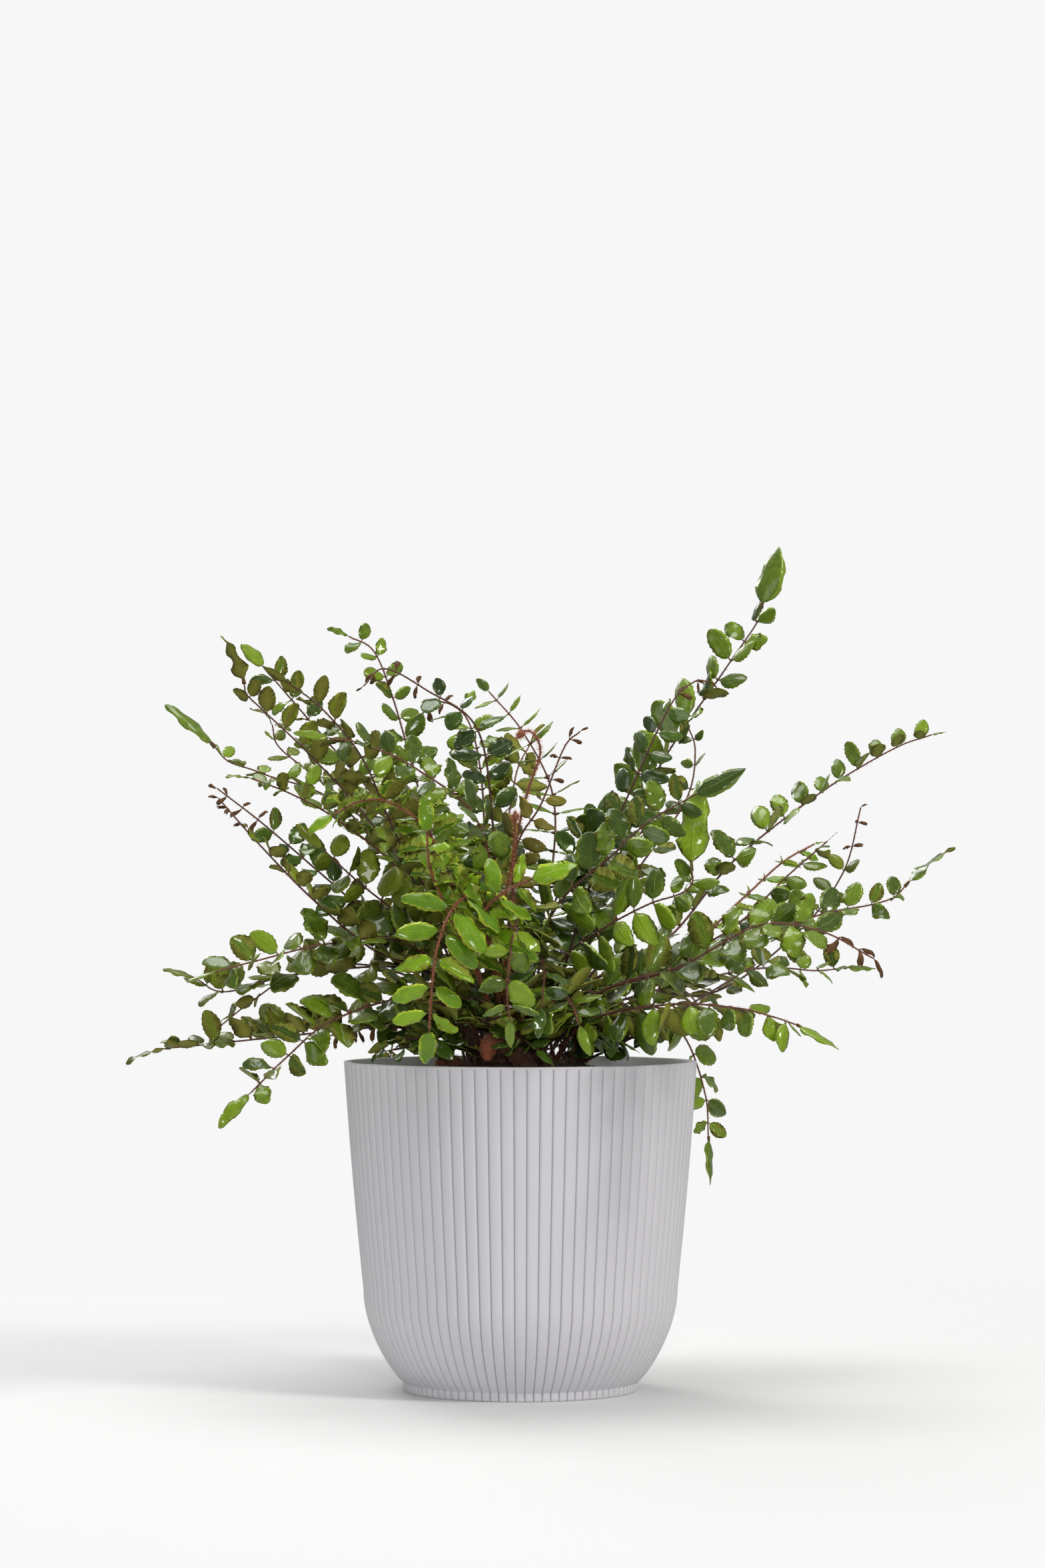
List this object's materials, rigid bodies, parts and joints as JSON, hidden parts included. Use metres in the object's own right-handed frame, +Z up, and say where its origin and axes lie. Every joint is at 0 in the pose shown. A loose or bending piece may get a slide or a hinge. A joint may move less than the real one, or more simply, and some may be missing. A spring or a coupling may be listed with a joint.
{
  "type": "potted fern",
  "caption": "Button fern with arching fronds of small leaflets, in soil in a loose nursery pot inside a ribbed pale cover pot.",
  "frame": {"origin": "middle of the cover pot's flat underside", "axes": "+Z up, +X to the viewer's right, +Y away from the viewer"},
  "size_m": [0.3215, 0.2644, 0.3295],
  "materials": {
    "pot_plastic": "matt moulded plastic in pale lavender grey, with a fine grain",
    "nursery_plastic": "thin black moulded plastic",
    "soil": "dark peat potting mix with bark crumbs",
    "rhizome": "woody, covered in rusty scales",
    "leaf_green": "leathery green leaflets with a waxy gloss, on dark scaly stems",
    "leaf_dark": "older, darker leathery leaflets on dark scaly stems",
    "leaf_young": "young yellow-green leaflets with pale margins, on rusty stems",
    "leaf_olive": "olive undersides with brown spore bands along the margins",
    "leaf_dry": "browned, drying leaflets",
    "stem_scaly": "dark wiry stems with rusty scales"
  },
  "bodies": {
    "root": {"cover_pot": "pot_plastic", "nursery_pot": "nursery_plastic", "soil": "soil", "rhizome": "rhizome", "frond_left_high_1": "leaf_olive", "frond_left_high_2": "leaf_green", "frond_left_high_3": "leaf_olive", "frond_left_high_4": "leaf_green", "frond_left_high_5": "leaf_green", "frond_left_high_6": "leaf_dark", "frond_left_high_7": "leaf_olive", "frond_left_high_8": "leaf_olive", "frond_left_high_9": "leaf_olive", "frond_middle_1": "leaf_green", "frond_middle_2": "leaf_dark", "frond_middle_3": "leaf_green", "frond_middle_4": "leaf_green", "frond_middle_5": "leaf_dry", "frond_middle_6": "leaf_green", "frond_middle_7": "leaf_dark", "frond_front_1": "leaf_young", "frond_front_2": "leaf_young", "frond_front_3": "leaf_young", "frond_front_4": "leaf_young", "frond_front_5": "leaf_green", "frond_front_6": "leaf_dark", "frond_front_7": "leaf_green", "frond_right_high_1": "leaf_green", "frond_right_high_2": "leaf_dark", "frond_right_high_3": "leaf_green", "frond_right_high_4": "leaf_green", "frond_right_high_5": "leaf_green", "frond_right_1": "leaf_green", "frond_right_2": "leaf_olive", "frond_right_3": "leaf_young", "frond_right_4": "leaf_green", "frond_right_5": "leaf_green", "frond_right_6": "leaf_green", "frond_right_7": "leaf_green", "frond_right_8": "leaf_green", "frond_right_9": "leaf_green", "frond_left_low_1": "leaf_olive", "frond_left_low_2": "leaf_green", "frond_left_low_3": "leaf_olive", "frond_left_low_4": "leaf_olive", "frond_left_low_5": "leaf_green", "frond_left_low_6": "leaf_dry", "frond_back_1": "leaf_green", "frond_back_2": "leaf_green", "frond_back_3": "leaf_green", "frond_back_4": "leaf_olive", "frond_back_5": "leaf_green", "frond_back_6": "leaf_young", "frond_back_7": "leaf_dark", "frond_back_8": "leaf_green", "frond_back_9": "leaf_dark", "frond_crozier_1": "stem_scaly", "frond_crozier_2": "stem_scaly", "frond_bare_stem_1": "stem_scaly"}
  },
  "joints": []
}
